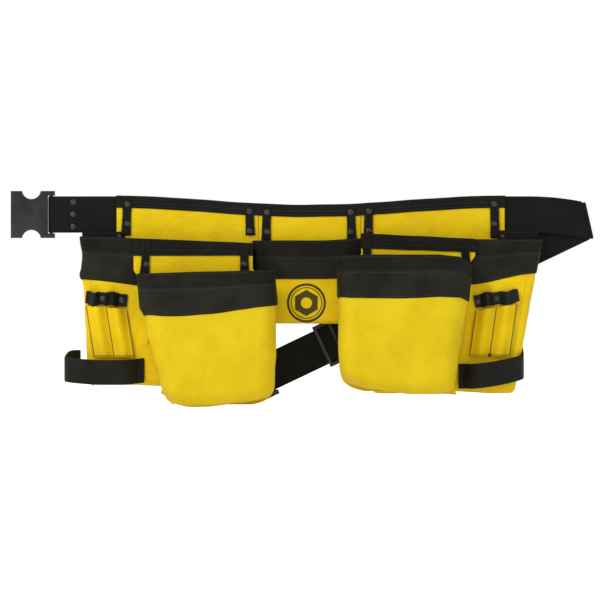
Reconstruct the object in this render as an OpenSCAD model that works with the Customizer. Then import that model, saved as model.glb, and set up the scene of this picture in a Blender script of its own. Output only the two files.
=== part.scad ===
// Carpenter's tool belt: a 50 mm webbing belt with a side-release buckle, two hip bags with
// front pouches, tool sleeves, tool loops and hammer loops, and a flat pocket in the middle.
// The belt hangs upright, as worn, with its free strap folded away behind the bags.
// X runs along the belt, the front of the belt faces -Y, and Z is up. Millimetres.
// Pairs such as [310, 318] hold the value for the left (-X) side and for the right (+X) side.

/* [Webbing] */
// Width of the belt webbing
belt_w = 50; // [38:1:60]
// Thickness of all webbing
web_t = 1.8; // [1.2:0.1:2.4]
// Distance from the middle of the belt to the socket's web bar
bar_reach = 350; // [335:1:400]
// Distance from the middle of the belt to the fold of the free strap
fold_reach = 380; // [360:1:440]
// Height of the belt's top edge above the origin, away from the sag
edge_z = 36.5; // [30:0.5:50]
// How far the middle of the belt sags below its ends
sag = 12.5; // [0:0.5:20]
// Drop of the belt at the fold
fold_drop = 8.5; // [0:0.5:15]
// Lean of the fold line off the vertical, half the slope of the folded strap
fold_tilt = 12.75; // [8:0.25:13.5]
// Length of the strap from the fold to the plug's web bar
strap_len = 484; // [470:1:520]
// Length of strap that is folded back from the plug's bar and held by the slider
strap_return = 153; // [130:1:180]

/* [Waistband] */
// Ends of the cloth panels, left and right of the middle
band_end = [262, 269]; // [240:1:290]
// Seams between the middle panel and its neighbours
seam_x = [67.5, 72]; // [60:0.5:80]
// Height of the waistband
band_h = 60; // [52:1:70]
// Thickness of the cloth panels
cloth_t = 2; // [1:0.1:3]
// Thickness of the lining behind the webbing
lining_t = 1.2; // [1:0.1:2]
// Height of the binding along the top edge
binding_h = 16; // [12:0.5:20]
// Thickness of the binding
binding_t = 1; // [0.6:0.1:1.6]
// Width of the hanger tabs
tab_w = 13.5; // [10:0.5:16]
// Thickness of the hanger tabs
tab_t = 1.4; // [1:0.1:2]
// Gap between the lower end of a hanger tab and the mouth of the hip bag below it
tab_gap = 1; // [0.5:0.5:3]
// Distance of the hanger tabs from the middle, inner pair and outer pair on each side
tab_x = [[56, 80, 246], [58, 83, 253.5]]; // [50:0.5:255]

/* [Rivets] */
// Radius of a rivet's post
post_r = 1.5; // [1:0.1:2]
// Radius of a rivet's cap
cap_r = 4; // [3:0.1:5]
// Height of a rivet's cap
cap_h = 1.6; // [1:0.1:2.5]
// Thickness of a rivet's washer
washer_t = 0.8; // [0.5:0.1:1]

/* [Hip bags] */
// Distance from the middle to the inner side of a hip bag
bag_in = [78, 84]; // [76:1:100]
// Distance from the middle to the outer side of a hip bag at its mouth
bag_out_top = [310, 318]; // [290:1:330]
// The same at its floor
bag_out_bottom = [298, 280]; // [260:1:320]
// Height of a hip bag's mouth
bag_top = [-18, -22]; // [-30:1:-15]
// Height of a hip bag's floor
bag_bottom = [-221, -229]; // [-260:1:-200]
// Depth of a hip bag from back to front
bag_depth = 35; // [28:1:50]
// Height of a hip bag's hem
bag_hem_h = [64, 59]; // [40:1:70]
// Thickness of the walls of bags, pouches and pocket
wall = 2; // [1.2:0.1:3]

/* [Front pouches] */
// Distance from the middle to the inner side of a pouch, at its mouth
pouch_in_top = [42, 39]; // [30:1:60]
// The same at its floor
pouch_in_bottom = [50, 52]; // [40:1:70]
// Distance from the middle to the outer side of a pouch, at its mouth
pouch_out_top = [231, 224]; // [200:1:240]
// The same at its floor
pouch_out_bottom = [205, 200]; // [180:1:220]
// Height of a pouch's mouth
pouch_top = [-66, -44]; // [-70:1:-40]
// Height of a pouch's floor
pouch_bottom = [-250, -232]; // [-270:1:-220]
// Depth of a pouch from back to front
pouch_depth = 50; // [40:1:70]
// Height of a pouch's hem
pouch_hem_h = [54, 57]; // [40:1:65]
// Top of the pouch's back panel
plate_top = [-25, -15]; // [-30:1:-12]
// Sides of the top of the pouch's back panel, inner and outer
plate_x = [[74, 238], [71, 228]]; // [70:1:245]
// Height of the binding on the pouch's back panel
plate_binding_h = 20; // [14:1:24]
// Distance of each pouch's inner tab from the middle
plate_tab_in = [87, 79.5]; // [78:0.5:100]
// Clear width between a plate's outer tab and its pouch's side
plate_tab_side = 5.25; // [4.5:0.25:8]
// Length of the pouch tabs
plate_tab_len = 44; // [40:1:50]
// Height of the rivet in each pouch tab, inner and outer
plate_rivet_z = [[-57, -57], [-51, -57]]; // [-60:1:-20]

/* [Middle pocket] */
// Sides of the middle pocket, left and right of the middle
pocket_x = [74, 82]; // [72:1:83]
// Height of the middle pocket's mouth
pocket_top = -24; // [-30:1:-20]
// Height of the middle pocket's floor
pocket_bottom = -137; // [-160:1:-120]
// Depth of the middle pocket
pocket_depth = 18; // [12:1:28]
// Height of the middle pocket's hem
pocket_hem_h = 53; // [40:1:60]

/* [Tool sleeves and tool loops] */
// Distance from the middle to the outer seam of the sleeves at their lower end
sleeve_x = [291, 274]; // [260:1:292]
// Width of one sleeve between its seams
sleeve_w = 26.5; // [20:0.5:28]
// Height of the sleeves' lower end
sleeve_bottom = [-183, -182]; // [-184:1:-170]
// Gap between the tool loops' strip and the sleeves' mouths below it
sleeve_gap = 2; // [1:0.5:4]
// Slope of the sleeves off the vertical
sleeve_lean = [9, 8]; // [0:0.5:12]
// How far a sleeve stands off the bag
sleeve_rise = 9; // [6:0.5:14]
// Thickness of the sleeve cloth
sleeve_t = 1.2; // [0.8:0.1:2]
// Height of the tool loops' strip
loop_h = 19; // [14:1:24]
// Distance from the middle to the outer end of the tool loops' strip
loop_x = [302, 286]; // [270:1:305]
// Height of the tool loops' middle line
loop_z = [-101, -98]; // [-110:1:-94]
// Slope of the tool loops' strip
loop_slope = [5, 9]; // [0:0.5:12]
// Thickness of the tool loops' strip
loop_t = 1.4; // [1:0.1:2]
// Runs of the strip: end foot, bump, riveted foot, bump, end foot
loop_runs = [[3, 16, 9, 17, 12], [4, 22, 9, 17, 9]]; // [3:1:24]

/* [Hammer loops] */
// Height of the hammer loops' webbing
hammer_h = 33; // [25:1:40]
// Height of the hammer loops' middle line
hammer_z = [-201.5, -205]; // [-215:0.5:-200]
// Distance from the middle to a hammer loop's inner foot
hammer_in = [222, 210]; // [200:1:240]
// Distance from the middle to a hammer loop's outermost point
hammer_out = [331, 296]; // [285:1:340]
// How far a hammer loop stands off the bag
hammer_rise = 26; // [15:1:40]
// How steeply a hammer loop climbs towards its outer end
hammer_climb = [0.04, 0.24]; // [0:0.02:0.26]

/* [Buckle] */
// Width of the buckle's halves beyond the webbing, both sides together
buckle_extra = 14; // [12:1:18]
// Thickness of the buckle's halves
buckle_t = 12; // [11:0.5:14]
// Radius of each web bar
bar_r = 2.2; // [1.8:0.1:2.6]
// Length of the socket from its web bar to its mouth
socket_len = 55; // [50:1:64]
// Depth of the grip notches in the socket's sides
notch_depth = 11; // [8:0.5:13]
// Wall of the socket above and below its mouth
socket_wall = 1.8; // [1.4:0.1:2.4]
// Length of the plug from its web bar to the end of its arms
plug_len = 50; // [46:1:60]
// Width of one latch arm
arm_w = 7; // [5:0.5:8]
// Place of the slider along the strap, from the fold to its centre bar
slider_at = 388; // [360:1:420]
// Length of the slider along the strap
slider_len = 26; // [20:1:32]

/* [Hidden] */
LEFT = 0;
RIGHT = 1;
plate_tab_x = [for (s = [0:1]) [plate_tab_in[s], pouch_out_top[s] - plate_tab_side - tab_w / 2]];
yellow = [0.93, 0.78, 0.06];
black = [0.13, 0.13, 0.11];
plastic = [0.2, 0.2, 0.18];
gunmetal = [0.4, 0.4, 0.38];
$fn = 48;

// Layers of the waistband, from the wearer forwards
web_back = -lining_t;
web_front = web_back - web_t;
panel_front = web_front - cloth_t;
binding_front = panel_front - binding_t;
tab_front = binding_front - tab_t;
bag_front = panel_front - bag_depth;
plate_front = bag_front - cloth_t;
plate_binding_front = plate_front - binding_t;
plate_tab_front = plate_binding_front - tab_t;
pouch_front = plate_front - pouch_depth;

// Line of the belt's top edge
sag_reach = 270;
drop_start = 300;
edge_step = 20;
function curve(x) =
    edge_z
    - (abs(x) < sag_reach ? sag * (1 + cos(180 * x / sag_reach)) / 2 : 0)
    - (x > drop_start ? fold_drop * pow((x - drop_start) / (fold_reach - drop_start), 2) : 0);
function edge(x) = let (a = floor(x / edge_step) * edge_step, u = (x - a) / edge_step)
    curve(a) * (1 - u) + curve(a + edge_step) * u;
function edge_line(x0, x1, down) = concat(
    [[x0, edge(x0) - down]],
    [for (k = [floor(x0 / edge_step) + 1:ceil(x1 / edge_step) - 1])
        [k * edge_step, edge(k * edge_step) - down]],
    [[x1, edge(x1) - down]]);

// Rows of rivets in the waistband
rivet_down = [11, 38];
corner_down = 55;
corner_off = tab_w / 2 + cap_r + 0.3;
corner_rivet_x = [-tab_x[LEFT][2] - corner_off, tab_x[RIGHT][2] + corner_off];
band_tabs = concat([for (x = tab_x[LEFT]) -x], tab_x[RIGHT]);
band_rivet_places = concat(
    [for (x = band_tabs, down = rivet_down) [x, edge(x) - down]],
    [for (x = corner_rivet_x) [x, edge(x) - corner_down]]);
end_rivet_x = -bar_reach + 30;
end_rivet_pitch = belt_w / 3;
end_rivet_places = [for (i = [-1:1]) [end_rivet_x, edge_z - belt_w / 2 + i * end_rivet_pitch]];

// Web bars and the strap's layers
bar_gap = 0.3;
web_in_r = bar_r + bar_gap;
web_out_r = web_in_r + web_t;
socket_bar = [-bar_reach, web_back + web_in_r, edge_z - belt_w / 2];
strap_gap = 3;
strap_front = strap_gap + web_t;
fold_y = (strap_gap + web_back) / 2;
fold_in_r = strap_gap - fold_y;
fold_leg = 1;
fold_z = edge(fold_reach) - belt_w / 2;
strap_slope = 2 * fold_tilt;
plug_bar_y = strap_front + web_in_r;
run_in = 8;
run_out = 20;
belt_return = 50;

// ---------------------------------------------------------------- tools
// Plate in the XZ plane whose back face lies at y_back
module plate(y_back, t) {
    translate([0, y_back, 0]) rotate([90, 0, 0]) linear_extrude(t) children();
}

// Band between two distances below the belt's top edge
module band(x0, x1, from, to) {
    polygon(concat(edge_line(x0, x1, from), reversed(edge_line(x0, x1, to))));
}

// Moves its children to one side of the belt: mirrored on the left
module on_side(side) {
    if (side == LEFT) mirror([1, 0, 0]) children();
    else children();
}

// Posts through every place in a list
module posts(places, r) {
    for (p = places) translate([p[0], 0, p[1]]) rotate([90, 0, 0]) cylinder(h = 300, r = r, center = true);
}

// Rivet through a stack of cloth between two depths
cap_rim = 0.5;
washer_r = cap_r * 0.9;
module rivet(place, y_cap, y_back) {
    translate([place[0], y_cap, place[1]]) rotate([90, 0, 0]) {
        rotate_extrude() polygon(concat(
            [[0, 0], [cap_r, 0]], arc(0, cap_rim, cap_r, cap_h - cap_rim, 0, 90, 8)));
    }
    translate([place[0], y_back, place[1]]) rotate([90, 0, 0]) {
        cylinder(h = y_back - y_cap, r = post_r);
        cylinder(h = washer_t, r = washer_r);
    }
}

function arc(cx, cy, rx, ry, from, to, n) =
    [for (i = [0:n]) let (a = from + (to - from) * i / n) [cx + rx * cos(a), cy + ry * sin(a)]];

// Outline of a ribbon of even thickness that follows a path
function unit(v) = v / norm(v);
function heading(path, i) = let (k = min(max(i, 0), len(path) - 2)) unit(path[k + 1] - path[k]);
function shifted(path, by) = [for (i = [0:len(path) - 1])
    let (a = heading(path, i - 1), b = heading(path, i), n = a + b)
        path[i] + by * [-n[1], n[0]] / (1 + a * b)];
function reversed(path) = [for (i = [len(path) - 1:-1:0]) path[i]];
function ribbon(path, t) = concat(shifted(path, t / 2), reversed(shifted(path, -t / 2)));

// ---------------------------------------------------------------- cloth containers
// Front outline: straight sides that close in towards a floor with round corners
function front_outline(in_top, out_top, in_bottom, out_bottom, top, bottom, r) = concat(
    [[in_top, top]],
    arc(in_bottom + r, bottom + r, r, r, 180, 270, 6),
    arc(out_bottom - r, bottom + r, r, r, 270, 360, 6),
    [[out_top, top]]);

// Full form of a bag that is flat at its back, inset by a wall
module bag_form(outline, in, out, top, bottom, back, depth, plan_r, floor_r, inset) {
    front = back - depth + inset;
    r = max(plan_r - inset, 1);
    fr = max(floor_r - inset, 1);
    low = bottom + inset;
    intersection() {
        plate(back, depth + 1) offset(delta = -inset) polygon(outline);
        translate([0, 0, low]) linear_extrude(top - low + 2) polygon(concat(
            [[in + inset, back + (inset > 0 ? 1 : 0)]],
            arc(in + inset + r, front + r, r, r, 180, 270, 6),
            arc(out - inset - r, front + r, r, r, 270, 360, 6),
            [[out - inset, back + (inset > 0 ? 1 : 0)]]));
        translate([in - 20, 0, 0]) rotate([90, 0, 90]) linear_extrude(out - in + 40) polygon(concat(
            [[back + 1, top + 2]], [[front, top + 2]],
            arc(front + fr, low + fr, fr, fr, 180, 270, 6),
            [[back + 1, low]]));
    }
}

// Open-topped shell between two heights; its back is closed by the panel behind it
module bag_shell(outline, in, out, top, bottom, back, depth, plan_r, floor_r, from, to) {
    difference() {
        intersection() {
            bag_form(outline, in, out, top, bottom, back, depth, plan_r, floor_r, 0);
            translate([in - 20, back - depth - 5, from]) cube([out - in + 40, depth + 5, to - from]);
        }
        bag_hollow(outline, in, out, top, bottom, back, depth, plan_r, floor_r);
    }
}

// Inside of a shell, cut clear through its mouth and its open back
module bag_hollow(outline, in, out, top, bottom, back, depth, plan_r, floor_r) {
    tall = [for (p = outline) [p[0], p[1] >= top ? top + 4 : p[1]]];
    translate([0, 0.5, 0])
        bag_form(tall, in, out, top + 4, bottom, back, depth + 0.5, plan_r, floor_r, wall);
}

bag_r = 14;
bag_plan_r = 5;
function bag_outline(s) = front_outline(
    bag_in[s], bag_out_top[s], bag_in[s] + 4, bag_out_bottom[s], bag_top[s], bag_bottom[s], bag_r);
module bag(s, from, to) {
    on_side(s) bag_shell(bag_outline(s), bag_in[s], bag_out_top[s], bag_top[s], bag_bottom[s],
                         panel_front, bag_depth, bag_plan_r, bag_r, from, to);
}

pouch_r = 30;
pouch_floor_r = 24;
function pouch_outline(s) = front_outline(
    pouch_in_top[s], pouch_out_top[s], pouch_in_bottom[s], pouch_out_bottom[s],
    pouch_top[s], pouch_bottom[s], pouch_r);
module pouch(s, from, to) {
    on_side(s) bag_shell(pouch_outline(s), pouch_in_top[s], pouch_out_top[s], pouch_top[s],
                         pouch_bottom[s], plate_front, pouch_depth, pouch_r, pouch_floor_r, from, to);
}

pocket_r = 6;
module pocket(from, to) {
    x0 = -pocket_x[LEFT];
    x1 = pocket_x[RIGHT];
    bag_shell(front_outline(x0, x1, x0, x1, pocket_top, pocket_bottom, pocket_r), x0, x1,
              pocket_top, pocket_bottom, panel_front, pocket_depth, pocket_r, pocket_r, from, to);
}

// ---------------------------------------------------------------- webbing
// Web that turns around a bar at the origin, then comes back and lies down at a depth
module web_loop(lie_y, length) {
    r = web_in_r + web_t / 2;
    ease = 0.6;
    path = concat(
        [[2, -r]], arc(0, 0, r, r, -90, -270, 12),
        [[run_in - 3, r], [run_in, r - ease], [run_out, lie_y + ease], [run_out + 3, lie_y],
         [length, lie_y]]);
    linear_extrude(belt_w, center = true) polygon(ribbon(path, web_t));
}

module belt_webbing() {
    color(black) difference() {
        union() {
            plate(web_back, web_t) intersection() {
                band(-bar_reach, fold_reach + belt_w, 0, belt_w);
                translate([fold_reach, fold_z]) rotate(fold_tilt)
                    translate([-2 * fold_reach - fold_leg, -fold_reach]) square(2 * fold_reach);
            }
            translate(socket_bar) web_loop(web_back + web_t / 2 - socket_bar[1], belt_return);
        }
        posts(concat(band_rivet_places, end_rivet_places), post_r);
    }
}

module at_fold() {
    translate([fold_reach, fold_y, fold_z]) children();
}

module strap_fold() {
    r = fold_in_r + web_t / 2;
    path = concat([[-fold_leg, -r]], arc(0, 0, r, r, -90, 90, 12), [[-fold_leg, r]]);
    color(black) at_fold() rotate([0, -fold_tilt, 0])
        linear_extrude(belt_w / cos(fold_tilt), center = true) polygon(ribbon(path, web_t));
}

// Moves its children into the strap's frame: X from the fold towards the plug
module on_strap(along, y) {
    translate([fold_reach, y, fold_z]) rotate([0, 180 - strap_slope, 0])
        translate([along, 0, 0]) children();
}

module strap_tail() {
    half = belt_w / 2;
    start = fold_leg / cos(fold_tilt);
    skew = tan(fold_tilt) * half;
    color(black) {
        on_strap(0, strap_front) rotate([90, 0, 0]) linear_extrude(web_t)
            polygon([[start + skew, half], [strap_len, half], [strap_len, -half], [start - skew, -half]]);
        on_strap(strap_len, plug_bar_y) rotate([0, 0, 180]) mirror([0, 1, 0])
            web_loop(strap_front + web_t / 2 - plug_bar_y, strap_return);
    }
}

// ---------------------------------------------------------------- waistband
module waist_lining() {
    color(black) difference() {
        plate(0, lining_t) band(-band_end[LEFT], band_end[RIGHT], binding_h, band_h);
        posts(band_rivet_places, post_r);
        washers(band_rivet_places);
    }
}

// Seats of the washers in the wearer's side of the band
module washers(places) {
    for (p = places) translate([p[0], 1, p[1]]) rotate([90, 0, 0])
        cylinder(h = washer_t + 1, r = washer_r);
}

module back_panel_left() {
    color(yellow) difference() {
        plate(web_front, cloth_t) {
            band(-band_end[LEFT], -seam_x[LEFT], 0, band_h);
            mirror([1, 0]) polygon(bag_outline(LEFT));
        }
        posts(band_rivet_places, post_r);
    }
}

module back_panel_middle() {
    back_top = edge(pocket_x[RIGHT]) - band_h - 1.5;
    color(yellow) difference() {
        plate(web_front, cloth_t) {
            band(-seam_x[LEFT], seam_x[RIGHT], 0, band_h);
            translate([-pocket_x[LEFT], pocket_bottom])
                square([pocket_x[LEFT] + pocket_x[RIGHT], back_top - pocket_bottom]);
        }
        posts(band_rivet_places, post_r);
    }
}

module back_panel_right() {
    color(yellow) difference() {
        plate(web_front, cloth_t) {
            band(seam_x[RIGHT], band_end[RIGHT], 0, band_h);
            polygon(bag_outline(RIGHT));
        }
        posts(band_rivet_places, post_r);
    }
}

module top_binding() {
    color(black) difference() {
        union() {
            plate(0, lining_t) band(-band_end[LEFT], band_end[RIGHT], -binding_t, binding_h);
            plate(0, -binding_front) band(-band_end[LEFT], band_end[RIGHT], -binding_t, 0);
            plate(panel_front, binding_t) band(-band_end[LEFT], band_end[RIGHT], -binding_t, binding_h);
        }
        posts(band_rivet_places, post_r);
        washers(band_rivet_places);
    }
}

module hanger_tab(x, bottom) {
    top = edge(x) - 2;
    color(black) difference() {
        plate(binding_front, tab_t) translate([x - tab_w / 2, bottom]) square([tab_w, top - bottom]);
        posts(band_rivet_places, post_r);
    }
}
module hanger_tab_left_outer() { hanger_tab(-tab_x[LEFT][2], bag_top[LEFT] + tab_gap); }
module hanger_tab_left_inner() { hanger_tab(-tab_x[LEFT][1], bag_top[LEFT] + tab_gap); }
module hanger_tab_middle_left() { hanger_tab(-tab_x[LEFT][0], pocket_top); }
module hanger_tab_middle_right() { hanger_tab(tab_x[RIGHT][0], pocket_top); }
module hanger_tab_right_inner() { hanger_tab(tab_x[RIGHT][1], bag_top[RIGHT] + tab_gap); }
module hanger_tab_right_outer() { hanger_tab(tab_x[RIGHT][2], bag_top[RIGHT] + tab_gap); }

module band_rivets() {
    tabs = 2 * len(band_tabs);
    color(gunmetal) for (i = [0:len(band_rivet_places) - 1])
        rivet(band_rivet_places[i], i < tabs ? tab_front : panel_front, 0);
}

module belt_end_rivets() {
    color(gunmetal) for (p = end_rivet_places) rivet(p, web_front, web_back + web_t + washer_t);
}

// ---------------------------------------------------------------- hip bags
module bag_body(s) {
    color(yellow) difference() {
        bag(s, bag_bottom[s], bag_top[s] - bag_hem_h[s]);
        posts(loop_rivet_places, post_r);
    }
}
module bag_left() { bag_body(LEFT); }
module bag_right() { bag_body(RIGHT); }
module bag_hem(s) {
    color(black) difference() {
        bag(s, bag_top[s] - bag_hem_h[s], bag_top[s]);
        plate_posts(s);
    }
}
module bag_left_hem() { bag_hem(LEFT); }
module bag_right_hem() { bag_hem(RIGHT); }

// ---------------------------------------------------------------- front pouches
function side_x(s, x) = s == LEFT ? -x : x;
function plate_rivet_places(s) =
    [for (i = [0:1]) [side_x(s, plate_tab_x[s][i]), plate_rivet_z[s][i]]];
module plate_posts(s) { posts(plate_rivet_places(s), post_r); }

module pouch_panel(s) {
    color(yellow) difference() {
        plate(bag_front, cloth_t) on_side_2d(s) {
            polygon(pouch_outline(s));
            translate([plate_x[s][0], pouch_top[s] - 1])
                square([plate_x[s][1] - plate_x[s][0], plate_top[s] - pouch_top[s] + 1]);
        }
        plate_posts(s);
    }
}

module on_side_2d(side) {
    if (side == LEFT) mirror([1, 0]) children();
    else children();
}

module pouch_binding(s) {
    width = plate_x[s][1] - plate_x[s][0];
    color(black) difference() {
        union() {
            plate(plate_front, binding_t) on_side_2d(s)
                translate([plate_x[s][0], plate_top[s] - plate_binding_h]) square([width, plate_binding_h]);
            plate(bag_front, cloth_t + binding_t) on_side_2d(s)
                translate([plate_x[s][0], plate_top[s]]) square([width, binding_t]);
        }
        plate_posts(s);
    }
}

module pouch_tab(s, i) {
    x = side_x(s, plate_tab_x[s][i]);
    color(black) difference() {
        plate(plate_binding_front, tab_t)
            translate([x - tab_w / 2, plate_top[s] - 2 - plate_tab_len]) square([tab_w, plate_tab_len]);
        plate_posts(s);
    }
}

module pouch_body(s) {
    color(yellow) pouch(s, pouch_bottom[s], pouch_top[s] - pouch_hem_h[s]);
}

module pouch_hem(s) {
    color(black) pouch(s, pouch_top[s] - pouch_hem_h[s], pouch_top[s]);
}

module pouch_left_panel() { pouch_panel(LEFT); }
module pouch_left_binding() { pouch_binding(LEFT); }
module pouch_left_tab_inner() { pouch_tab(LEFT, 0); }
module pouch_left_tab_outer() { pouch_tab(LEFT, 1); }
module pouch_left() { pouch_body(LEFT); }
module pouch_left_hem() { pouch_hem(LEFT); }
module pouch_right_panel() { pouch_panel(RIGHT); }
module pouch_right_binding() { pouch_binding(RIGHT); }
module pouch_right_tab_inner() { pouch_tab(RIGHT, 0); }
module pouch_right_tab_outer() { pouch_tab(RIGHT, 1); }
module pouch_right() { pouch_body(RIGHT); }
module pouch_right_hem() { pouch_hem(RIGHT); }

module pouch_rivets() {
    color(gunmetal) for (s = [LEFT, RIGHT], p = plate_rivet_places(s))
        rivet(p, plate_tab_front, bag_front + (abs(p[0]) - cap_r > bag_in[s] + wall ? wall : 0) + washer_t);
}

// ---------------------------------------------------------------- middle pocket
module middle_pocket() { color(yellow) pocket(pocket_bottom, pocket_top - pocket_hem_h); }
module middle_pocket_hem() { color(black) pocket(pocket_top - pocket_hem_h, pocket_top); }

// ---------------------------------------------------------------- sleeves and loops on the bags
bump_steps = 10;
// Path of a strip that lies on a face and rises in smooth bumps; runs alternate flat and bump
function run_start(runs, k) = k == 0 ? 0 : run_start(runs, k - 1) + runs[k - 1];
function bumps(runs, rise, base) = concat([[0, base]], [for (k = [0:len(runs) - 1], i = [1:bump_steps])
    let (u = i / bump_steps, bump = k % 2 == 1)
    if (bump || i == bump_steps)
        [run_start(runs, k) + runs[k] * u, base - (bump ? rise * (1 - cos(360 * u)) / 2 : 0)]]);

sleeve_foot = 2;
module tool_sleeves(s) {
    runs = [sleeve_foot, sleeve_w - sleeve_foot, sleeve_foot, sleeve_w - sleeve_foot, sleeve_foot];
    strip_bottom = loop_z[s] - loop_h / 2 / cos(loop_slope[s]) - sleeve_gap;
    spare = 25;
    color(yellow) on_side(s) difference() {
        translate([sleeve_x[s], bag_front, sleeve_bottom[s]])
            rotate([0, sleeve_lean[s], 0]) mirror([1, 0, 0]) translate([0, 0, -spare])
                linear_extrude(strip_bottom - sleeve_bottom[s] + 2 * spare)
                    polygon(ribbon(bumps(runs, sleeve_rise, -sleeve_t / 2), sleeve_t));
        translate([loop_x[s], 0, strip_bottom]) rotate([0, -loop_slope[s], 0])
            translate([-150, -150, 0]) cube([300, 300, 2 * spare + 20]);
        translate([150, -150, sleeve_bottom[s] - 2 * spare]) cube([300, 300, 2 * spare]);
    }
}
module tool_sleeves_left() { tool_sleeves(LEFT); }
module tool_sleeves_right() { tool_sleeves(RIGHT); }

function loop_place(s, along) =
    [side_x(s, loop_x[s] - along * cos(loop_slope[s])), loop_z[s] - along * sin(loop_slope[s])];
function loop_rivet_alongs(s) = [for (k = [2, 4]) run_start(loop_runs[s], k) + loop_runs[s][2] / 2];
loop_rivet_places = [for (s = [LEFT, RIGHT], along = loop_rivet_alongs(s)) loop_place(s, along)];

loop_rise = 9;
module tool_loop(s) {
    color(black) difference() {
        on_side(s) translate([loop_x[s], bag_front, loop_z[s]])
            rotate([0, -loop_slope[s], 0]) mirror([1, 0, 0]) translate([0, 0, -loop_h / 2])
                linear_extrude(loop_h)
                    polygon(ribbon(bumps(loop_runs[s], loop_rise, -loop_t / 2), loop_t));
        posts(loop_rivet_places, post_r);
    }
}
module tool_loop_left() { tool_loop(LEFT); }
module tool_loop_right() { tool_loop(RIGHT); }
module loop_rivets() {
    color(gunmetal) for (p = loop_rivet_places) rivet(p, bag_front - loop_t, bag_front + wall + washer_t);
}

// Webbing that starts flat on the bag's front, bulges out and turns back to the bag's side
hammer_foot = 10;
side_gap = 9.5;
module hammer_loop(s) {
    t = web_t;
    side = bag_out_bottom[s] + side_gap;
    mid = (hammer_in[s] + hammer_foot + hammer_out[s]) / 2;
    rx = hammer_out[s] - t / 2 - mid;
    base = bag_front - t / 2;
    end_y = panel_front - 3;
    path = concat(
        [[hammer_in[s], base], [hammer_in[s] + hammer_foot - 3, base]],
        arc(mid, base, rx, -(hammer_rise), 168, 0, 14),
        arc(side, base, hammer_out[s] - t / 2 - side, end_y - base, 12, 84, 6));
    climb = hammer_climb[s];
    lift = hammer_z[s] - climb * mid;
    color(black) on_side(s) multmatrix([[1, 0, 0, 0], [0, 1, 0, 0], [climb, 0, 1, lift]])
        linear_extrude(hammer_h, center = true) polygon(ribbon(path, t));
}
module hammer_loop_left() { hammer_loop(LEFT); }
module hammer_loop_right() { hammer_loop(RIGHT); }

// ---------------------------------------------------------------- buckle
half_w = (belt_w + buckle_extra) / 2;
cheek_back = 5;
cheek_gap = 0.6;
block_start = 5.3;
// Body and cheeks of a buckle half with its web bar along Z at the origin
module web_end() {
    cylinder(h = 2 * half_w - 2, r = bar_r, center = true);
    cheek_w = half_w - belt_w / 2 - cheek_gap;
    for (z = [-1, 1]) translate([(block_start - cheek_back) / 2, 0, z * (half_w - cheek_w / 2)])
        cube([block_start + cheek_back, buckle_t, cheek_w], center = true);
}

module buckle_socket() {
    mouth_w = belt_w - 2;
    mouth_h = buckle_t - 2 * socket_wall;
    notch_at = 27;
    notch_r = 13;
    color(plastic) translate(socket_bar) rotate([0, 180, 0]) {
        difference() {
            translate([block_start, -buckle_t / 2, -half_w])
                cube([socket_len - block_start, buckle_t, 2 * half_w]);
            translate([block_start + 6, -mouth_h / 2, -mouth_w / 2])
                cube([socket_len, mouth_h, mouth_w]);
            for (z = [-1, 1]) {
                translate([notch_at, 0, z * (half_w + notch_r - notch_depth)]) rotate([90, 0, 0])
                    cylinder(h = buckle_t + 2, r = notch_r, center = true);
                translate([notch_at, 0, z * half_w * 0.8]) cube([18, mouth_h, half_w * 0.5], center = true);
            }
        }
        web_end();
    }
}

module slider() {
    rail = 4.5;
    bar = 4.5;
    back = strap_front + web_t + 0.4;
    front = strap_gap - 0.4;
    frame_t = 2;
    half = belt_w / 2 + 0.5;
    color(plastic) on_strap(slider_at, 0) {
        for (z = [-1, 1]) translate([-slider_len / 2, front - frame_t, z > 0 ? half : -half - rail])
            cube([slider_len, back - front + 2 * frame_t, rail]);
        for (x = [-1, 1]) translate([x * (slider_len - bar) / 2 - bar / 2, front - frame_t, -half])
            cube([bar, frame_t, 2 * half]);
        translate([-bar / 2, back, -half]) cube([bar, frame_t, 2 * half]);
    }
}

arm_root = 25;
arm_pivot_z = 16;
arm_reach = 27;
arm_t = 6;
arm_gap = 0.5;
root_r = arm_w / 2;
module buckle_plug() {
    tongue_w = 14;
    color(plastic) on_strap(strap_len, plug_bar_y) {
        web_end();
        translate([block_start, -buckle_t / 2, -half_w])
            cube([arm_root - root_r - arm_gap - block_start, buckle_t, 2 * half_w]);
        translate([arm_root - root_r - arm_gap - 1, -arm_t / 2 + 0.5, -tongue_w / 2])
            cube([plug_len - 4 - arm_root + root_r, arm_t - 1, tongue_w]);
    }
}

// Latch arm on the side of local +Z, rounded at its root
module latch_arm() {
    rotate([90, 0, 0]) linear_extrude(arm_t, center = true) {
        translate([arm_root, arm_pivot_z]) circle(r = root_r);
        polygon([[arm_root, arm_pivot_z - root_r], [plug_len - 6, arm_pivot_z - 3],
                 [plug_len, arm_pivot_z], [plug_len - 2, arm_pivot_z + 4],
                 [plug_len - 8, arm_reach - 0.5], [plug_len - 15, arm_reach],
                 [plug_len - 18, arm_pivot_z + 5], [arm_root, arm_pivot_z + root_r]]);
    }
}
module latch_arm_upper() { color(plastic) on_strap(strap_len, plug_bar_y) mirror([0, 0, 1]) latch_arm(); }
module latch_arm_lower() { color(plastic) on_strap(strap_len, plug_bar_y) latch_arm(); }

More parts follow.
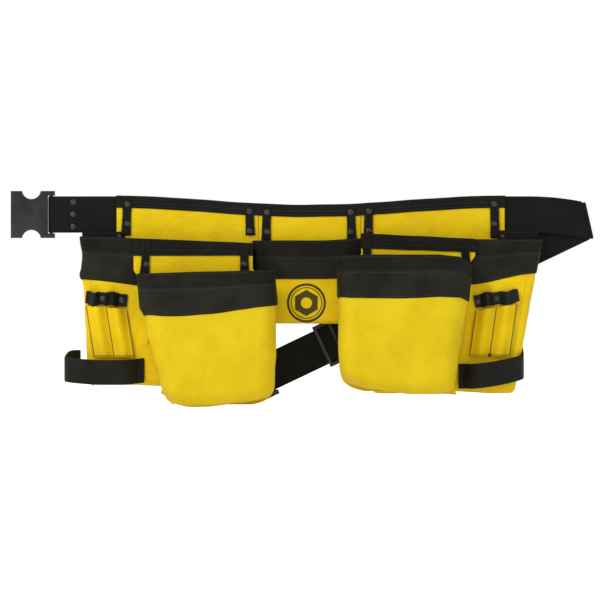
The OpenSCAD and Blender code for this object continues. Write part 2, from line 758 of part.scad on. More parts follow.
belt_webbing();
strap_fold();
strap_tail();
waist_lining();
back_panel_left();
back_panel_middle();
back_panel_right();
top_binding();
hanger_tab_left_outer();
hanger_tab_left_inner();
hanger_tab_middle_left();
hanger_tab_middle_right();
hanger_tab_right_inner();
hanger_tab_right_outer();
band_rivets();
belt_end_rivets();
bag_left();
bag_left_hem();
bag_right();
bag_right_hem();
pouch_left_panel();
pouch_left_binding();
pouch_left_tab_inner();
pouch_left_tab_outer();
pouch_left();
pouch_left_hem();
pouch_right_panel();
pouch_right_binding();
pouch_right_tab_inner();
pouch_right_tab_outer();
pouch_right();
pouch_right_hem();
pouch_rivets();
middle_pocket();
middle_pocket_hem();
tool_sleeves_left();
tool_sleeves_right();
tool_loop_left();
tool_loop_right();
loop_rivets();
hammer_loop_left();
hammer_loop_right();
buckle_socket();
slider();
buckle_plug();
latch_arm_upper();
latch_arm_lower();
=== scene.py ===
"""A carpenter's tool belt: cloth, webbing, rivets and buckle. Lengths are in millimetres."""

from math import cos, exp, pi, radians, sin, sqrt, tan

import bmesh
import bpy
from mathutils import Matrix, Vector, noise


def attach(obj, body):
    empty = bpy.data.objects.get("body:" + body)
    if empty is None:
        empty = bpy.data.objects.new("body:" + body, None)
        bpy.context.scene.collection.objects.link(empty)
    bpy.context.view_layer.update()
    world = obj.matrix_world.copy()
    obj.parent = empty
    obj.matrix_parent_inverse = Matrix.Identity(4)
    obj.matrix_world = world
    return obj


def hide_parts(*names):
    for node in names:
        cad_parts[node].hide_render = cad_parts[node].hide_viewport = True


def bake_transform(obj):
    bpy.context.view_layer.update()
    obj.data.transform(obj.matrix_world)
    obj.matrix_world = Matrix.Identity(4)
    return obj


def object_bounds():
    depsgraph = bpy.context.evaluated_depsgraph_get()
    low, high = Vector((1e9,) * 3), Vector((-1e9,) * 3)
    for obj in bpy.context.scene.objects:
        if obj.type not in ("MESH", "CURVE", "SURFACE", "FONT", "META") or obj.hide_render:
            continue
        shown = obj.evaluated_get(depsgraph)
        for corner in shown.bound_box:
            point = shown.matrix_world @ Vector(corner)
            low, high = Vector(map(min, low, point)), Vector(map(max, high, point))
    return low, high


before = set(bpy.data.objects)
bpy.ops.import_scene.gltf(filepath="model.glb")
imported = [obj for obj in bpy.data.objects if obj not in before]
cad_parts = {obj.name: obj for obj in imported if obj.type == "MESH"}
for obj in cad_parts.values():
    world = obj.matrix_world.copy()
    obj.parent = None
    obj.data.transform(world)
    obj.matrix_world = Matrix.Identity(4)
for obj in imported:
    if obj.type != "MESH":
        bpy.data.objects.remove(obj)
cad_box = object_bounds()
MM = 0.001
LEFT, RIGHT = -1, 1


# ---------------------------------------------------------------- finishes
class Value:
    """A number that changes over a surface. Arithmetic on it adds Math nodes."""

    def __init__(self, finish, socket):
        self.finish, self.socket = finish, socket

    def math(self, operation, *terms, clamp=False):
        node = self.finish.node(
            "ShaderNodeMath", {"operation": operation, "use_clamp": clamp}, dict(enumerate(terms))
        )
        return Value(self.finish, node.outputs[0])

    def __add__(self, other):
        return self.math("ADD", self, other)

    __radd__ = __add__

    def __sub__(self, other):
        return self.math("SUBTRACT", self, other)

    def __rsub__(self, other):
        return self.math("SUBTRACT", other, self)

    def __mul__(self, other):
        return self.math("MULTIPLY", self, other)

    __rmul__ = __mul__

    def __truediv__(self, other):
        return self.math("DIVIDE", self, other)

    def __pow__(self, other):
        return self.math("POWER", self, other)

    def __abs__(self):
        return self.math("ABSOLUTE", self)

    def __lt__(self, other):
        return self.math("LESS_THAN", self, other)

    def __gt__(self, other):
        return self.math("GREATER_THAN", self, other)

    def sine(self):
        return self.math("SINE", self)

    def clip(self):
        return self.math("ADD", self, 0, clamp=True)


class Finish:
    """One material, with its nodes."""

    def __init__(self, name, **sockets):
        self.material = bpy.data.materials.new(name)
        self.material.use_nodes = True
        self.tree = self.material.node_tree
        self.shader = self.tree.nodes["Principled BSDF"]
        for socket, value in sockets.items():
            self.shader.inputs[socket.replace("_", " ")].default_value = value
        place = self.node("ShaderNodeTexCoord")
        self.place = place.outputs["Object"]
        self.cloth = place.outputs["UV"]

    def node(self, kind, settings=None, inputs=None):
        node = self.tree.nodes.new(kind)
        for key, value in (settings or {}).items():
            if key == "stops":
                ramp = node.color_ramp
                while len(ramp.elements) < len(value):
                    ramp.elements.new(0.5)
                for stop, (at, colour) in zip(ramp.elements, value):
                    stop.position, stop.color = at, (*colour, 1)
            else:
                setattr(node, key, value)
        for key, value in (inputs or {}).items():
            source = value.socket if isinstance(value, Value) else value
            if isinstance(source, bpy.types.NodeSocket):
                self.tree.links.new(source, node.inputs[key])
            else:
                node.inputs[key].default_value = source
        return node

    def axes(self, source):
        parts = self.node("ShaderNodeSeparateXYZ", inputs={0: source}).outputs
        return [Value(self, part) for part in parts]

    def mottle(self, size, detail=3, source=None):
        """Soft irregular patches, from 0 to 1, about that many millimetres across."""
        inputs = {"Vector": source or self.place, "Scale": 1 / (size * MM), "Detail": detail}
        return Value(self, self.node("ShaderNodeTexNoise", inputs=inputs).outputs[0])

    def blend(self, amount, first, second, kind="MIX"):
        node = self.node(
            "ShaderNodeMix",
            {"data_type": "RGBA", "blend_type": kind},
            {0: amount, 6: first, 7: second},
        )
        return node.outputs[2]

    def relief(self, height, depth):
        """Raises the surface by a height from 0 to 1, times a depth in millimetres."""
        inputs = {"Height": height, "Distance": depth * MM, "Strength": 1.0}
        node = self.node("ShaderNodeBump", inputs=inputs)
        self.feed("Normal", node.outputs[0])

    def feed(self, socket, value):
        source = value.socket if isinstance(value, Value) else value
        self.tree.links.new(source, self.shader.inputs[socket])


def shade(*colour):
    return (*colour, 1)


def weave(finish, pitch_u, pitch_v):
    """Over and under threads along the cloth's own directions."""
    u, v, _ = finish.axes(finish.cloth)
    warp = (u * (2 * pi / (pitch_u * MM))).sine()
    weft = (v * (2 * pi / (pitch_v * MM))).sine()
    return (warp * weft) * 0.5 + 0.5


def canvas(name, light, deep):
    """Coated yellow canvas, creased from use."""
    cloth = Finish(name, Specular_IOR_Level=0.12, Sheen_Weight=0.02, Sheen_Roughness=0.5)
    threads = weave(cloth, 1.5, 1.5)
    patches = cloth.mottle(46, 4)
    creases = cloth.mottle(17, 5)
    specks = cloth.mottle(3.2, 2)
    tint = ((patches - 0.5) * 2.0 + 0.45 + (creases - 0.5) * 0.8).clip()
    dyed = cloth.blend(tint, light, deep)
    worn = cloth.blend(((specks - 0.62) * 2.2).clip(), dyed, shade(0.5, 0.33, 0.02))
    cloth.feed("Base Color", cloth.blend(threads * 0.16, worn, shade(0.6, 0.42, 0.01)))
    cloth.feed("Roughness", 0.55 + (patches - 0.5) * 0.25)
    cloth.relief(creases * 0.9 + threads * 0.12 + specks * 0.12, 2.0)
    return cloth


def marked_canvas(name, light, deep, x, z):
    """Canvas with a plain printed ring and nut, and no lettering."""
    cloth = canvas(name, light, deep)
    right, _, up = cloth.axes(cloth.place)
    a, b = (right - x * MM) / MM, (up - z * MM) / MM
    out = (a * a + b * b) ** 0.5
    ring = abs(out - 25) < 1.7
    thin = abs(out - 20.8) < 0.7
    first, second, third = abs(a), abs(a * 0.5 + b * 0.866), abs(a * 0.5 - b * 0.866)
    corner = first.math("MAXIMUM", first, first.math("MAXIMUM", second, third))
    nut = (corner < 15.5) * (out > 7.5)
    ink = (ring + thin + nut).clip() * (cloth.mottle(1.6, 2) > 0.27)
    plain = cloth.shader.inputs["Base Color"].links[0].from_socket
    cloth.feed("Base Color", cloth.blend(ink * 0.93, plain, shade(0.02, 0.018, 0.01)))
    return cloth


def webbing(name, dark, pale, rib=1.8, relief=0.35, gloss=0.5, painted_shade_strip=0.0):
    """Woven black tape: ribs across it, a herringbone over them and worn high spots. A strip along one side
    may be painted darker, as painted shade beside the sheen on the rest of the tape."""
    tape = Finish(name, Specular_IOR_Level=0.12, Sheen_Weight=0.02, Sheen_Roughness=0.4)
    u, v, _ = tape.axes(tape.cloth)
    ribs = (u * (2 * pi / (rib * MM))).sine() * 0.5 + 0.5
    rows = (v * (2 * pi / (rib * 1.35 * MM)) + (u * (2 * pi / (rib * 2 * MM))).sine()).sine() * 0.5 + 0.5
    fuzz = tape.mottle(1.3, 3)
    patches = tape.mottle(38, 3)
    tone = ribs * 0.3 + rows * 0.25 + (patches - 0.4) * 1.3 + (fuzz - 0.5) * 0.5
    if painted_shade_strip:
        # painted shade: the strip along one side is painted darker than the rest of the tape, which catches
        # sheen
        tone = tone - (v < painted_shade_strip) * 0.3
    tone = tone.clip()
    tape.feed("Base Color", tape.blend(tone, dark, pale))
    tape.feed("Roughness", gloss + (patches - 0.5) * 0.3)
    tape.relief(ribs * 0.45 + rows * 0.35 + fuzz * 0.3, relief)
    return tape


def plastic(name):
    """Moulded black plastic with a fine spark texture and rubbed edges."""
    body = Finish(name, Specular_IOR_Level=0.45)
    grain, rubs = body.mottle(0.9, 2), body.mottle(14, 4)
    smooth, rubbed = shade(0.008, 0.008, 0.0065), shade(0.024, 0.0235, 0.018)
    scratched = body.blend(((rubs - 0.45) * 2).clip(), smooth, rubbed)
    body.feed("Base Color", scratched)
    body.feed("Roughness", 0.34 + (rubs - 0.5) * 0.3)
    body.relief(grain, 0.06)
    return body


def gunmetal(name):
    metal = Finish(name, Metallic=0.85)
    rubs, pits = metal.mottle(3.5, 3), metal.mottle(0.8, 2)
    metal.feed("Base Color", metal.blend(rubs, shade(0.025, 0.025, 0.023), shade(0.085, 0.085, 0.078)))
    metal.feed("Roughness", 0.42 + (rubs - 0.5) * 0.3 + (pits - 0.5) * 0.1)
    metal.relief(pits, 0.05)
    return metal


def thread(name, colour):
    yarn = Finish(name, Sheen_Weight=0.2)
    twist = yarn.mottle(0.6, 2)
    yarn.feed("Base Color", yarn.blend(twist, colour, shade(*[c * 0.6 for c in colour[:3]])))
    yarn.feed("Roughness", 0.6 + twist * 0.2)
    yarn.relief(twist, 0.1)
    return yarn


BRIGHT = (shade(0.77, 0.575, 0.006), shade(0.68, 0.47, 0.002))
DEEP = (shade(0.88, 0.62, 0.003), shade(0.77, 0.5, 0.0015))
pouch_canvas = canvas("pouch_canvas", *BRIGHT)
band_canvas = canvas("band_canvas", *DEEP)
printed_canvas = marked_canvas("printed_canvas", *DEEP, -2.3, -109)
belt_web = webbing("belt_webbing", shade(0.002, 0.002, 0.0015), shade(0.008, 0.0076, 0.0055))
loop_web = webbing("loop_webbing", shade(0.005, 0.0048, 0.0035), shade(0.017, 0.0165, 0.012), rib=2.2)
# the hem tape's strip at the top of the hem, above its fold line, gets painted shade
hem_tape = webbing("hem_tape", shade(0.004, 0.0038, 0.0022), shade(0.026, 0.025, 0.0155), rib=1.4, relief=0.3,
                   painted_shade_strip=0.021)
trim_tape = webbing("trim_tape", shade(0.003, 0.0029, 0.0018), shade(0.011, 0.0105, 0.007), rib=1.4,
                    relief=0.25)
satin_tape = webbing("satin_tape", shade(0.004, 0.004, 0.004), shade(0.02, 0.02, 0.019), rib=1.2, relief=0.15,
                     gloss=0.36)
lining_cloth = webbing("lining_cloth", shade(0.008, 0.008, 0.008), shade(0.02, 0.02, 0.019), rib=2.6,
                       gloss=0.7)
black_plastic = plastic("buckle_plastic")
rivet_metal = gunmetal("rivet_metal")
black_thread = thread("black_thread", shade(0.02, 0.02, 0.016))
gold_thread = thread("gold_thread", shade(0.5, 0.33, 0.02))


# ---------------------------------------------------------------- ways of making
def lerp(a, b, t):
    return a + (b - a) * t


def ease(t):
    t = min(max(t, 0), 1)
    return t * t * (3 - 2 * t)


def ripple(point, size, seed=0):
    return noise.noise(Vector((point[0] / size, point[1] / size + seed, point[2] / size)))


def along(points, t):
    """Point at a share of a line's length."""
    steps = [(b - a).length for a, b in zip(points, points[1:])]
    left = t * sum(steps)
    for a, b, step in zip(points, points[1:], steps):
        if left <= step:
            return a.lerp(b, left / step if step else 0)
        left -= step
    return points[-1]


def finished(name, mesh, finish, body):
    data = bpy.data.meshes.new(name)
    mesh.to_mesh(data)
    mesh.free()
    data.materials.append(finish.material)
    data.shade_smooth()
    piece = bpy.data.objects.new(name, data)
    bpy.context.scene.collection.objects.link(piece)
    if body:
        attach(piece, body)
    return piece


def lay(name, place, size, counts, thickness, finish, node=None, body="belt",
        facing=(0, -1, 0), area=None, levels=1):
    """Lays a cloth of that flat size over place(u, v), its outer face, and gives it its thickness."""
    mesh = bmesh.new()
    bmesh.ops.create_grid(mesh, x_segments=counts[0], y_segments=counts[1], size=1)
    chart = mesh.loops.layers.uv.verify()
    for face in mesh.faces:
        for loop in face.loops:
            u, v = (loop.vert.co.x + 1) / 2, (1 - loop.vert.co.y) / 2
            loop[chart].uv = (u * size[0] * MM, v * size[1] * MM)
    for vert in mesh.verts:
        vert.co = Vector(place((vert.co.x + 1) / 2, (1 - vert.co.y) / 2)) * MM
    bmesh.ops.remove_doubles(mesh, verts=mesh.verts, dist=1e-6)
    mesh.normal_update()
    if sum((f.normal.dot(Vector(facing)) * f.calc_area() for f in mesh.faces)) < 0:
        bmesh.ops.reverse_faces(mesh, faces=mesh.faces)
    piece = finished(name, mesh, finish, body)
    wall = piece.modifiers.new("wall", "SOLIDIFY")
    wall.thickness, wall.offset = thickness * MM, -1
    if levels:
        round_off = piece.modifiers.new("round", "SUBSURF")
        round_off.levels = round_off.render_levels = levels
    size[0] * MM
    size[1] * MM
    area and area * MM * MM
    if node:
        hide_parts(node)
    return piece


def settle(piece):
    """Makes a piece's modifiers part of its mesh."""
    seen = piece.evaluated_get(bpy.context.evaluated_depsgraph_get())
    data = bpy.data.meshes.new_from_object(seen)
    piece.modifiers.clear()
    piece.data = data


stitches = {}


def stitch(kind, place, start, end, out=0.15, pitch=4.2, length=2.9, thick=0.75, body="belt"):
    """A row of stitches over a laid cloth, between two points of it."""
    count = 60
    line = [Vector(place(*[lerp(a, b, i / count) for a, b in zip(start, end)])) for i in range(count + 1)]
    span = sum((b - a).length for a, b in zip(line, line[1:]))
    number = int(span / pitch)
    for i in range(number):
        t = (i + 0.5) / number
        u, v = (lerp(a, b, t) for a, b in zip(start, end))
        middle = Vector(place(u, v))
        across = Vector(place(u + 0.002, v)) - middle
        down = Vector(place(u, v + 0.002)) - middle
        up = across.cross(down).normalized()
        if up.y > 0 and abs(up.y) > 0.2:
            up = -up
        ahead = (along(line, min(t + 0.01, 1)) - along(line, max(t - 0.01, 0))).normalized()
        stitches.setdefault((kind, body), []).append((middle + up * out, ahead, up, length, thick))


def sew():
    """Makes the stitches that the rows above asked for."""
    for (kind, body), rows in stitches.items():
        mesh = bmesh.new()
        for middle, ahead, up, length, thick in rows:
            made = bmesh.ops.create_icosphere(mesh, subdivisions=1, radius=0.5)["verts"]
            side = up.cross(ahead).normalized()
            for vert in made:
                x, y, z = vert.co
                vert.co = (middle + ahead * x * length + side * y * thick + up * z * thick * 0.8) * MM
        finish = gold_thread if kind == "gold" else black_thread
        finished(f"{kind}_stitches_{body}", mesh, finish, body)


def moulded(name, node, body, finish, width, angle=32):
    """A moulded or turned part with its edges rounded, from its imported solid."""
    mesh = bmesh.new()
    mesh.from_mesh(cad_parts[node].data)
    bmesh.ops.remove_doubles(mesh, verts=mesh.verts, dist=2e-6)
    bmesh.ops.dissolve_limit(mesh, angle_limit=radians(1.5), verts=mesh.verts, edges=mesh.edges)
    if width:
        sharp = [e for e in mesh.edges if e.is_manifold and e.calc_face_angle(0) > radians(angle)]
        bmesh.ops.bevel(mesh, geom=sharp, offset=width * MM, offset_type="OFFSET", affect="EDGES",
                        segments=2, profile=0.5, material=-1, clamp_overlap=True)
    bmesh.ops.triangulate(mesh, faces=[f for f in mesh.faces if len(f.verts) > 4])
    piece = finished(name, mesh, finish, body)
    piece.data.set_sharp_from_angle(angle=radians(40))
    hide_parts(node)
    return piece


# ---------------------------------------------------------------- the belt's line
BAR_X, FOLD_X, TOP_Z, SAG = -350, 380, 36.5, 12.5
WEB, LINING, CLOTH = 1.8, 1.2, 2.0
WEB_W = 50


def edge(x):
    """Height of the belt's top edge."""
    dip = SAG * (1 + cos(pi * x / 270)) / 2 if abs(x) < 270 else 0
    drop = 8.5 * ((x - 300) / 80) ** 2 if x > 300 else 0
    return TOP_Z - dip - drop


TILT = radians(12.75)
FOLD_Z = edge(FOLD_X) - 25
AHEAD = Vector((-cos(2 * TILT), 0, -sin(2 * TILT)))
ACROSS = Vector((sin(2 * TILT), 0, -cos(2 * TILT)))
STRAP_LEN, STRAP_Y = 484, 3.9
BAR_R = 2.5


def turn_and_return(lie, length):
    """Line of a web that goes round a bar at the origin and lies back, as (along, out) points."""
    r = BAR_R + WEB / 2
    turn = [radians(-90 - 15 * i) for i in range(13)]
    points = [Vector((r * cos(a), r * sin(a), 0)) for a in turn]
    rest = [(4, r - 0.1), (9, r - 0.9), (14, (r + lie) / 2), (19, lie + 0.8), (24, lie), (length, lie)]
    return points + [Vector((a, b, 0)) for a, b in rest]


def belt_main():
    bar_y = -LINING + BAR_R
    loop = turn_and_return(-LINING + WEB / 2 - bar_y, 50)
    flat = [Vector((FOLD_X - 1 - 730 * (1 - i / 60) - BAR_X, -BAR_R - WEB / 2, 0)) for i in range(61)]
    line = list(reversed(flat))[:-1] + loop
    total = sum((b - a).length for a, b in zip(line, line[1:]))

    def place(u, v):
        at = along(line, u)
        x = BAR_X + at.x
        across = WEB_W * (v - 0.5)
        if u < 0.5 * 730 / total:
            x += (across * tan(TILT)) * ease(1 - u * total / 365)
        slack = 0.35 * ripple((x, 7, across), 42) if -345 < x < -262 or x > 270 else 0
        z = edge(min(x, FOLD_X)) - WEB_W / 2 - across
        return x, bar_y + at.y + slack * (0 if at.y > -BAR_R else 1), z

    laid = lay("waist_web", place, (total, WEB_W), (400, 12), WEB, belt_web, "belt_webbing")
    solid = laid.modifiers["wall"]
    solid.offset = 0
    return place, total


def strap_point(a, out, across):
    """A point in the free strap's own directions."""
    at = Vector((FOLD_X, out, FOLD_Z)) + AHEAD * a + ACROSS * across
    return at.x, at.y, at.z


def strap():
    bar_y = 4.8 + BAR_R
    loop = turn_and_return(STRAP_Y + WEB - bar_y, 153)
    flat = [Vector((lerp(1, STRAP_LEN, i / 60), STRAP_Y, 0)) for i in range(60)]
    line = flat + [Vector((STRAP_LEN - p.x, bar_y + p.y, 0)) for p in loop]
    total = sum((b - a).length for a, b in zip(line, line[1:]))

    def place(u, v):
        at = along(line, u)
        across = WEB_W * (0.5 - v)
        a = at.x + across * tan(TILT) * ease(1 - u * total / 300)
        return strap_point(a, at.y, across)

    laid = lay("free_strap", place, (total, WEB_W), (320, 12), WEB, belt_web, "strap_tail", "strap",
               facing=(0, 1, 0))
    laid.modifiers["wall"].offset = 0
    for row in (0, 1):
        stitch("black", place, (1 - (128 + row * 24) / total, 0.08), (1 - (128 + row * 24) / total, 0.92),
               out=1.0, body="strap")
    return place


def fold():
    r, leg = 3.0, 1.0
    axis = Vector((sin(TILT), 0, -cos(TILT)))
    ahead = Vector((cos(TILT), 0, sin(TILT)))
    middle = Vector((FOLD_X, 0.9, FOLD_Z))
    points = [Vector((-leg, -r, 0))] + [
        Vector((r * cos(radians(a)), r * sin(radians(a)), 0)) for a in range(-90, 91, 9)
    ] + [Vector((-leg, r, 0))]

    def place(u, v):
        at = along(points, u)
        point = middle + ahead * at.x + axis * (WEB_W / cos(TILT)) * (v - 0.5)
        return point.x, 0.9 + at.y, point.z

    laid = lay("strap_crease", place, (11.4, 51.3), (24, 12), WEB, belt_web, "strap_fold", None,
               facing=(1, 0, 0))
    laid.modifiers["wall"].offset = 0
    settle(laid)
    low, high = (FOLD_X * MM, -1.2 * MM, FOLD_Z * MM), (FOLD_X * MM, 3.0 * MM, FOLD_Z * MM)
    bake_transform(laid)


# ---------------------------------------------------------------- waistband
PANEL_BACK, PANEL_FRONT = -LINING - WEB, -LINING - WEB - CLOTH
BAND_H, BINDING_H = 60, 16
BAND_LEFT, BAND_RIGHT = -262, 269
SEAMS = (-67.5, 72)
BAGS = {
    LEFT: dict(inner=78, outer=(310, 298), top=-18, bottom=-221, hem=64,
               slant=[(0.15, 0.91), (0.4, 1.02), (1, 1.02)]),
    RIGHT: dict(inner=84, outer=(318, 280), top=-22, bottom=-229, hem=59,
                slant=[(0.6, 1.05), (0.83, 0.81), (1, 0.78)]),
}
BAG_DEPTH = 35
HEM_TUCK, HEM_CALM = 5, 0.6
BAG_FRONT = PANEL_FRONT - BAG_DEPTH


def bag_edges(side):
    """Where a bag's left and right sides stand at a share of its height."""
    bag = BAGS[side]
    near = lambda f: bag["inner"] + 4 * f
    far = lambda f: lerp(bag["outer"][0], bag["outer"][1], f)
    if side == RIGHT:
        return near, far
    return (lambda f: -far(f)), (lambda f: -near(f))


def band_panel(name, node, x0, x1, drop=BAND_H + 1):
    def place(u, v):
        x = lerp(x0, x1, u)
        z = edge(x) - 1.5 - drop * v
        pucker = 0.5 * ripple((x, 3, z), 26) + 0.35 * ripple((x, 9, z), 9)
        window = sin(pi * u) ** 0.5 * sin(pi * min(max(v, 0.02), 0.98)) if 0 < u < 1 else 0
        return x, PANEL_FRONT + 0.2 - (pucker + 0.5) * window * 0.7, z

    return lay(name, place, (x1 - x0, drop), (int((x1 - x0) / 4), 18), 1.2, band_canvas, node), place


def waistband():
    band_panel("left_waist_canvas", "back_panel_left", BAND_LEFT + 1, SEAMS[0])
    band_panel("middle_waist_canvas", "back_panel_middle", *SEAMS)
    band_panel("right_waist_canvas", "back_panel_right", SEAMS[1], BAND_RIGHT - 1)
    for side in (LEFT, RIGHT):
        near, far = bag_edges(side)
        bag = BAGS[side]
        top = -20 if side == LEFT else -24

        def place(u, v, near=near, far=far, bag=bag, top=top):
            x = lerp(near(v), far(v), u)
            x += (bag_mid(near, far, v) - x) * 0.04 * ease((v - 0.93) / 0.07)
            z = lerp(min(top, edge(x) - 50), bag["bottom"], v)
            return x, PANEL_BACK + 0.4 + 0.5 * ripple((x, 0, z), 33), z

        name = "bag_back_left" if side == LEFT else "bag_back_right"
        lay(name, place, (230, 205), (56, 50), 1.2, band_canvas,
            facing=(0, 1, 0))

    def pocket_back(u, v):
        x, z = lerp(-77.6, 83.6, u), lerp(-24, -137, v)
        return x, PANEL_BACK + 0.3 + 0.4 * ripple((x, 0, z), 30), z

    lay("middle_pocket_back", pocket_back, (156, 113), (40, 30), 1.2, band_canvas, facing=(0, 1, 0))

    def lining(u, v):
        x = lerp(BAND_LEFT + 1, BAND_RIGHT - 1, u)
        z = edge(x) - 6 - 54 * v
        return x, 0.1 + 0.25 * ripple((x, 5, z), 24) - 0.25, z

    lay("waist_lining_cloth", lining, (529, 54), (130, 16), 1.1, lining_cloth, "waist_lining",
        facing=(0, 1, 0))
    for row in (0.24, 0.93):
        stitch("black", lining, (0.01, row), (0.99, row), out=0.3)

    outline = [Vector((-6.2, -BINDING_H)), Vector((-6.4, -8)), Vector((-6.2, -0.5)), Vector((-4.6, 1.1)),
               Vector((-1.8, 1.1)), Vector((-0.2, -0.6)), Vector((-0.05, -8)), Vector((-0.05, -BINDING_H))]
    outline = [Vector((p.x, p.y, 0)) for p in outline]

    def binding(u, v):
        x = lerp(BAND_LEFT, BAND_RIGHT, u)
        at = along(outline, v)
        return x, at.x + 0.15 * ripple((x, at.y, 2), 16), edge(x) + at.y + 0.5 * ripple((x, 0, 0), 40)

    lay("waist_binding", binding, (531, 38), (150, 20), 0.9, trim_tape, "top_binding",
        facing=(0, 0, 1))
    for row in (0.07, 0.2):
        stitch("black", binding, (0.004, row), (0.996, row), out=0.12)


def bag_mid(near, far, v):
    return (near(v) + far(v)) / 2


def tab(name, node, x, top, bottom, front, lean=0, waist=0.1, back=1.4, width=13.5):
    def place(u, v):
        half = width / 2 * (1 - waist * sin(pi * v)) + 0.25 * ripple((x, 0, v * 40), 9)
        z = lerp(top, bottom, v)
        y = front - 0.25 * sin(pi * u) + 0.15 * ripple((x, 0, z), 8)
        return x + lerp(-half, half, u) + lean * v, y, z

    lay(name, place, (width, top - bottom), (8, 20), back, trim_tape, node)
    for row in (0.1, 0.9):
        stitch("black", place, (row, 0.03), (row, 0.97), out=0.1, length=2.2, thick=0.6)


def wing_tapes():
    """Short tapes over the ends of the waistband, between the webbing and the bags."""
    for name, x0, x1, high, low in (
        ("wing_tape_left", -308, -249, -11.5, -30),
        ("wing_tape_right", 259, 314, -10, -33),
    ):
        def place(u, v, x0=x0, x1=x1, high=high, low=low):
            x = lerp(x0, x1, u)
            z = lerp(high + 0.5 * ripple((x, 0, 0), 21), low, v)
            return x, PANEL_FRONT - 1.2 + 0.3 * ripple((x, 2, z), 12), z

        lay(name, place, (x1 - x0, high - low), (24, 10), 1.2, trim_tape)
        stitch("black", place, (0.02, 0.12), (0.98, 0.12), out=0.1)


def hanger_tabs():
    front = PANEL_FRONT - 1 - 1.4
    for name, x, low, lean in (
        ("hanger_tab_left_outer", -246, -17, -2.0),
        ("hanger_tab_left_inner", -80, -17, 1.4),
        ("hanger_tab_middle_left", -56, -24, -1.2),
        ("hanger_tab_middle_right", 58, -24, 1.6),
        ("hanger_tab_right_inner", 83, -21, -1.4),
        ("hanger_tab_right_outer", 253.5, -21, 1.2),
    ):
        tab(name.replace("hanger_tab", "hanger"), name, x, edge(x) - 1, low, front, lean)


# ---------------------------------------------------------------- bags, pouches and the pocket
def shell(left, right, top, floor, back, depth, plan_r, side_r, floor_r, bulge=0, drape=1, seed=0,
          share=(0.12, 0.1), proud=9):
    """A bag's outer face: u goes from one back edge round the front to the other, v from the mouth to the
    seam at the back of its floor. left and right give x at a share of the height, top and floor z at x."""
    side_u, arc_u = share

    def place(u, v, grow=0.0, calm=1.0):
        mid = (left(0) + right(0)) / 2
        height = top(mid) - floor(mid)
        wall, arc = height - floor_r, floor_r * pi / 2
        s = v * (wall + arc + depth - floor_r)
        if s < wall:
            down, deep, under = s, depth, 0
        elif s < wall + arc:
            under = (s - wall) / floor_r
            down, deep = wall + floor_r * sin(under), depth - floor_r * (1 - cos(under))
        else:
            down, deep, under = height, max(depth - floor_r - (s - wall - arc), 0), pi / 2
        f = down / height
        low = height - down
        inset = side_r - sqrt(side_r**2 - (side_r - low) ** 2) if low < side_r else 0
        lo, hi = left(f) + inset, right(f) - inset
        rc = min(plan_r, deep * 0.98)
        w = 1 - u if u > 0.5 else u
        if w < side_u:
            x, y = 0, (deep - rc) * w / side_u
            out = Vector((-1, 0, 0))
        elif w < side_u + arc_u:
            a = (w - side_u) / arc_u * pi / 2
            x, y = rc * (1 - cos(a)), deep - rc + rc * sin(a)
            out = Vector((-cos(a), -sin(a), 0))
        else:
            x = rc + (hi - lo - 2 * rc) * (w - side_u - arc_u) / (1 - 2 * side_u - 2 * arc_u)
            y = deep
            out = Vector((0, -1, 0))
        if u > 0.5:
            x, out.x = hi - x, -out.x
        else:
            x = lo + x
        out = out * cos(under) + Vector((0, 0, -1)) * sin(under)
        z = lerp(top(x), floor(x), f)
        across = (x - lo) / max(hi - lo, 1)
        swell = bulge * sin(pi * min(max(across, 0), 1)) ** 0.8 * sin(pi * min(f * 0.85 + 0.12, 1)) ** 1.2
        point = Vector((x, back - y, z))
        cloth = 2.1 * ripple(point, 46, seed) + 0.8 * ripple(point, 17, seed + 4)
        cloth = cloth + 0.25 * ripple(point, 7, seed + 9)
        hold = ease(y / 9) * calm
        point += out * (grow + min(swell + cloth * drape, proud) * hold)
        return point.x, point.y, point.z

    height = top((left(0) + right(0)) / 2) - floor((left(0) + right(0)) / 2)
    around = right(0.3) - left(0.3) + 2 * depth - 0.85 * plan_r
    down = height + depth - 0.43 * floor_r
    return place, around, down


def bag_and_hem(name, shape, hem_h, counts, finish, line=0.36, grow=0.9,
                slant=((0, 1), (1, 1))):
    """A canvas shell and the wide hem round its mouth, with their stitching. The slant gives the hem's depth,
    as a share of hem_h, at places across it."""
    place, around, down = shape
    hem_share = hem_h / down
    deepness = rounded(slant)
    mean_hem = hem_h * sum(deepness(i / 20) for i in range(21)) / 21
    start = (hem_h * min(d for _, d in slant) - HEM_TUCK) / down

    def body(u, v):
        return place(u, lerp(start, 1, v), -0.1)

    def hem(u, v):
        roll = 0.7 - 0.7 * (1 - min(v / 0.06, 1)) ** 2
        crease = 0.55 * (1 - abs(v - line) / 0.03) if abs(v - line) < 0.03 else 0
        return place(u, hem_share * v * deepness(u), grow + roll - crease, HEM_CALM)

    below = down * (1 - start)
    lay(name + "_canvas", body, (around, below), counts, 1.2, finish, name,
        area=around * below * 0.93)
    lay(name + "_mouth", hem, (around, mean_hem), (counts[0], 26), 2.6, hem_tape, name + "_hem")
    for row in (0.05, line + 0.05, 0.95):
        stitch("black", hem, (0.02, row), (0.98, row), out=0.1)
    return body, hem


def rounded(values):
    """Smooth line through a few (position, value) pairs."""
    def at(t):
        if t <= values[0][0]:
            return values[0][1]
        for (a, p), (b, q) in zip(values, values[1:]):
            if t <= b:
                return lerp(p, q, ease((t - a) / (b - a)) * 0.35 + (t - a) / (b - a) * 0.65)
        return values[-1][1]
    return at


def bump(t, middle, width):
    """A soft rise to 1 at a place along a line."""
    return exp(-(((t - middle) / width) ** 2))


